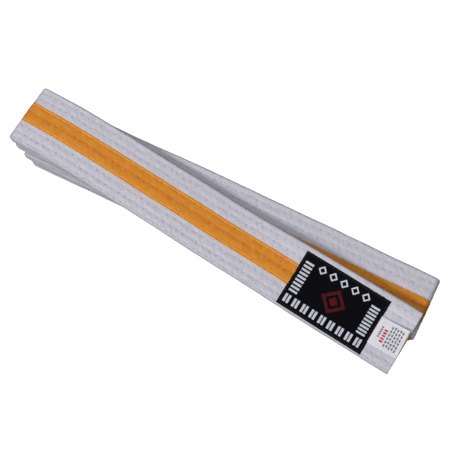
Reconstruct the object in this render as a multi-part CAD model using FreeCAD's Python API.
"""A folded martial arts belt: a long flat strap of stitched cotton plies with a ribbon stripe.

The strap lies zig-zag in eight panels, one on another. Panel 1 is the top one and ends in the
labelled free end, panel 8 is the bottom one. Fold 1 joins panels 1 and 2, and so on to fold 7.
Odd folds are on the -X side and even folds on the +X side. Millimetres, +Z up, and the origin
is on the underside, below the middle of panel 2.
"""
import FreeCAD
import Part
import math
import os

# Strap
belt_length = 2400.0
belt_width = 45.0
belt_thick = 3.6
cover_thick = 0.5
edge_radius = 1.1  # rounding of the strap's long edges
ply_count = 3

# Ribbon stripe, one on each face, let in flush with the cover
ribbon_width = 15.6
ribbon_thick = 0.3
face_ribbon_y = 1.2  # centre, off the strap's middle line
back_ribbon_y = -0.7

# Lengthwise stitch rows, from the strap's middle line, in channels on both faces
stitch_rows = (-20.2, -15.2, -9.6, -5.1, 1.2, 7.6, 13.5, 18.3)
thread_width = 0.5
thread_depth = 0.15

# The folded bundle
layer_pitch = 3.9
headings = (-5.7, 0.0, 0.1, 0.2, 0.5, 0.2, 0.2, 0.3)  # degrees in plan, panel 1 first
fold_setbacks = (0.0, 0.0, 2.5, 1.5, 8.5, 3.0, 13.5)  # inside the outermost fold on that side
top_end_overhang = 1.0  # panel 1 runs this much past the +X folds' line
bottom_end_setback = 4.0
fold_clearance = 0.1  # between a fold and each of its panels

# Turned-in ends
hem_thick = 0.5
hem_length = 8.0

# Woven label and size label on panel 1, placed from the free end
woven_label_length = 64.0
woven_label_width = 41.0
woven_label_thick = 0.4
woven_label_y = -1.2
woven_label_to_end = 21.3
label_seam_inset = 1.2
size_label_width = 19.6
size_label_length = 19.6
size_label_thick = 0.2
size_label_lift = 0.2  # the loose flap's height over the strap
size_label_tuck = 4.0  # sewn in under the woven label
flap_gap = 0.4  # between the woven label's edge and the flap
flap_hinge_height = 0.5  # above the strap's face
flap_hinge_gap = 0.3  # from the woven label's edge

panel_count = len(headings)
panels = range(1, panel_count + 1)
folds = range(1, panel_count)
fold_radius = layer_pitch / 2
fold_arc = math.pi * fold_radius
large = 10.0  # cutting tools run past the stock by this


def setbacks(panel):
    """How far a panel stops short of the bundle's outermost folds at its -X and +X ends."""
    low = fold_setbacks[panel - 1 if panel % 2 else panel - 2]
    if panel == 1:
        return low, -top_end_overhang
    if panel == panel_count:
        return low, bottom_end_setback
    return low, fold_setbacks[panel - 2 if panel % 2 else panel - 1]


# All straight stretches and all fold arcs add up to the strap's length
span = (belt_length - len(folds) * fold_arc + sum(sum(setbacks(p)) for p in panels)) / panel_count


def straight_length(panel):
    return span - sum(setbacks(panel))


def heading(panel):
    return math.radians(headings[panel - 1])


def along(panel):
    return FreeCAD.Vector(math.cos(heading(panel)), math.sin(heading(panel)), 0)


def mid_height(panel):
    return belt_thick / 2 + (panel_count - panel) * layer_pitch


def fold_points():
    """The middle of each fold's arc axis in plan, following the strap from fold to fold."""
    points = {1: FreeCAD.Vector(-span / 2, 0, 0)}
    for fold in list(folds)[1:]:
        step = straight_length(fold) * (1 if fold % 2 == 0 else -1)
        points[fold] = points[fold - 1] + along(fold) * step
    return points


fold_point = fold_points()


def crease_angle(fold):
    """A crease halves the angle between its two panels, so that the strap opens out straight."""
    return math.pi / 2 + (heading(fold) + heading(fold + 1)) / 2


def crease(fold):
    return FreeCAD.Vector(math.cos(crease_angle(fold)), math.sin(crease_angle(fold)), 0)


def half_crease(fold):
    """Half the crease's length: a little over half the width where it runs at a slant."""
    skew = (heading(fold) - heading(fold + 1)) / 2
    return belt_width / 2 / math.cos(skew)


def fold_height(fold):
    return (mid_height(fold) + mid_height(fold + 1)) / 2


def hinge_lines(fold):
    """A fold opens about two lines, a quarter turn each: (below, above) points and a direction.

    Each line stands a quarter of the arc outside and below or above the arc's axis, so that the
    open fold lies flat at its full length. The direction turns the upper panel up and over.
    """
    side = -1 if fold % 2 else 1
    offset = fold_arc / 4
    outward = FreeCAD.Vector(crease(fold).y, -crease(fold).x, 0) * side * offset
    axis_point = fold_point[fold] + FreeCAD.Vector(0, 0, fold_height(fold))
    points = [axis_point + outward + FreeCAD.Vector(0, 0, lift) for lift in (-offset, offset)]
    return points, crease(fold) * side


def panel_start(panel):
    """The middle of a panel's -X end."""
    return fold_point[panel if panel % 2 else panel - 1]


def placed(shape, panel):
    """Moves a shape from a panel's own frame, x along it from its -X end and z from its middle."""
    shape.rotate(FreeCAD.Vector(), FreeCAD.Vector(0, 0, 1), math.degrees(heading(panel)))
    start = panel_start(panel)
    shape.translate(FreeCAD.Vector(start.x, start.y, mid_height(panel)))
    return shape


def block(x, y, z):
    """A box from three (low, high) pairs."""
    size = [high - low for low, high in (x, y, z)]
    return Part.makeBox(*size, FreeCAD.Vector(x[0], y[0], z[0]))


def strap_bar(length, y, z):
    """A bar along a panel that runs past both its ends, to be trimmed to its outline."""
    return block((-large, length + large), y, z)


def ribbon_y(side):
    return face_ribbon_y if side == "face" else back_ribbon_y


def ribbon_span(side, stretch=1.0):
    return tuple((ribbon_y(side) + sign * ribbon_width / 2) * stretch for sign in (-1, 1))


def side_up(panel, side):
    """Odd panels lie with the strap's face up and even ones with its back up."""
    return (panel % 2 == 1) == (side == "face")


def skin(panel, side, depth):
    """The (low, high) heights of a skin of this depth on one side of a panel."""
    half = belt_thick / 2
    return (half - depth, half) if side_up(panel, side) else (-half, depth - half)


def outline(panel):
    """A panel's plan outline, cut along its creases, as a tall block in its own frame."""
    length = straight_length(panel)
    ends = []
    for end, low in ((0.0, True), (length, False)):
        fold = panel if (panel % 2 == 1) == low else panel - 1
        if fold == 0 or fold == panel_count:
            lean, clear = 0.0, 0.0
        else:
            lean = crease_angle(fold) - math.pi / 2 - heading(panel)
            clear = fold_clearance
        x = end + (clear if low else -clear)
        ends.append([FreeCAD.Vector(x - y * math.tan(lean), y, -belt_thick)
                     for y in (-belt_width, belt_width)])
    (a, b), (c, d) = ends
    face = Part.Face(Part.makePolygon([a, c, d, b, a]))
    return face.extrude(FreeCAD.Vector(0, 0, 2 * belt_thick))


def stitch_bars(panel):
    length = straight_length(panel)
    return [strap_bar(length, (y - thread_width / 2, y + thread_width / 2),
                      skin(panel, side, thread_depth))
            for y in stitch_rows for side in ("face", "back")]


def panel_pieces(panel):
    """The cover, inner plies, two ribbons and stitching of one panel."""
    length = straight_length(panel)
    half_w = belt_width / 2
    half_t = belt_thick / 2
    trim = outline(panel)

    stock = strap_bar(length, (-half_w, half_w), (-half_t, half_t))
    long_edges = [e for e in stock.Edges if abs(e.tangentAt(e.FirstParameter).x) > 0.99]
    cover = stock.makeFillet(edge_radius, long_edges)
    inner_y = (cover_thick - half_w, half_w - cover_thick)
    inner_z = (cover_thick - half_t, half_t - cover_thick)
    cover = cover.cut(strap_bar(length, inner_y, inner_z))

    ribbons = {side: strap_bar(length, ribbon_span(side), skin(panel, side, ribbon_thick))
               for side in ("face", "back")}
    threads = Part.makeCompound(stitch_bars(panel))
    cover = cover.cut(list(ribbons.values())).cut(threads)

    ply = (inner_z[1] - inner_z[0]) / ply_count
    plies = [strap_bar(length, inner_y, (inner_z[0] + i * ply, inner_z[0] + (i + 1) * ply))
             for i in range(ply_count)]
    name = f"panel_{panel}"
    pieces = {
        f"{name}_cover": cover.common(trim),
        f"{name}_inner_plies": Part.makeCompound([p.common(trim) for p in plies]),
        f"{name}_stitching": threads.common(trim),
    }
    for side, ribbon in ribbons.items():
        pieces[f"{name}_{side}_ribbon"] = ribbon.cut(threads).common(trim)
    return pieces


def half_ring(inner, outer, y, outward):
    """Half a ring about the Y axis, open towards +X for an outward of -1."""
    turn = Part.makeCylinder(outer, y[1] - y[0], FreeCAD.Vector(0, y[0], 0), FreeCAD.Vector(0, 1, 0))
    bore = Part.makeCylinder(inner, y[1] - y[0], FreeCAD.Vector(0, y[0], 0), FreeCAD.Vector(0, 1, 0))
    side = (-large, 0) if outward < 0 else (0, large)
    return turn.cut(bore).common(block(side, (-belt_width, belt_width), (-large, large)))


def fold_pieces(fold):
    """The turn of cover, plies and both ribbons at one fold, as separate solids."""
    outward = -1 if fold % 2 else 1
    inner = fold_radius - belt_thick / 2
    outer = fold_radius + belt_thick / 2
    half = half_crease(fold)
    stretch = half / (belt_width / 2)
    core = half_ring(inner + cover_thick, outer - cover_thick,
                     (cover_thick - half, half - cover_thick), outward)
    outside, inside = ("face", "back") if fold % 2 else ("back", "face")
    ribbons = [
        half_ring(outer - ribbon_thick, outer, ribbon_span(outside, stretch), outward),
        half_ring(inner, inner + ribbon_thick, ribbon_span(inside, stretch), outward),
    ]
    cover = half_ring(inner, outer, (-half, half), outward).cut([core, *ribbons])
    turn = Part.makeCompound([cover, core, *ribbons])
    turn.rotate(FreeCAD.Vector(), FreeCAD.Vector(0, 0, 1), math.degrees(crease_angle(fold)) - 90)
    point = fold_point[fold]
    turn.translate(FreeCAD.Vector(point.x, point.y, fold_height(fold)))
    return turn


def end_hem(panel):
    """The cover's end turned in over the plies: an end wall and two lips, in a panel's frame."""
    length = straight_length(panel)
    half_w = belt_width / 2 - cover_thick
    half_t = belt_thick / 2 - cover_thick
    stock = block((length - hem_length, length), (-half_w, half_w), (-half_t, half_t))
    hollow = block((length - hem_length, length - hem_thick), (-half_w, half_w),
                   (hem_thick - half_t, half_t - hem_thick))
    return stock.cut(hollow)


def label_pieces():
    """The woven label, its seam, and the size label sewn in under its end, in panel 1's frame."""
    face = belt_thick / 2
    edge = straight_length(1) - woven_label_to_end
    span_x = (edge - woven_label_length, edge)
    span_y = tuple(woven_label_y + s * woven_label_width / 2 for s in (-1, 1))
    label = block(span_x, span_y, (face, face + woven_label_thick))

    size_y = tuple(woven_label_y + s * size_label_width / 2 for s in (-1, 1))
    sewn = block((edge - size_label_tuck, edge), size_y, (face, face + size_label_thick))
    loose_z = (face + size_label_lift, face + size_label_lift + size_label_thick)
    loose = block((edge + flap_gap, edge + size_label_length), size_y, loose_z)

    seam_z = (face + woven_label_thick - thread_depth, face + woven_label_thick)
    rim = [tuple(p + s * i for p, s in zip(pair, (1, -1)))
           for i in (label_seam_inset, label_seam_inset + thread_width)
           for pair in (span_x, span_y)]
    seam = block(rim[0], rim[1], seam_z).cut(block(rim[2], rim[3], seam_z))
    return {
        "woven_label": label.cut(sewn).cut(seam),
        "woven_label_seam": seam,
        "size_label_sewn_end": sewn,
        "size_label_flap": loose,
    }


def flap_hinge_line():
    """The size label lifts about a line across panel 1, just outside the woven label."""
    x = straight_length(1) - woven_label_to_end + flap_hinge_gap
    point = Part.Vertex(x, woven_label_y, belt_thick / 2 + flap_hinge_height)
    across = FreeCAD.Vector(along(1).y, -along(1).x, 0)
    return placed(point, 1).Point, across


def all_nodes():
    nodes = {}
    for panel in panels:
        pieces = panel_pieces(panel)
        if panel in (1, panel_count):
            hem = end_hem(panel)
            plies = pieces[f"panel_{panel}_inner_plies"]
            pieces[f"panel_{panel}_inner_plies"] = Part.makeCompound(
                [s.cut(hem) for s in plies.Solids])
            pieces["labelled_end_hem" if panel == 1 else "plain_end_hem"] = hem
        if panel == 1:
            pieces.update(label_pieces())
        nodes.update({name: placed(shape, panel) for name, shape in pieces.items()})
    for fold in folds:
        nodes[f"fold_{fold}"] = fold_pieces(fold)
    return nodes


def main():
    os.makedirs("parts", exist_ok=True)
    for name, shape in all_nodes().items():
        shape.exportStep(f"parts/{name}.step")
    for fold in folds:
        print("fold", fold, "hinge lines", *hinge_lines(fold))
    print("size label hinge line", *flap_hinge_line())


main()
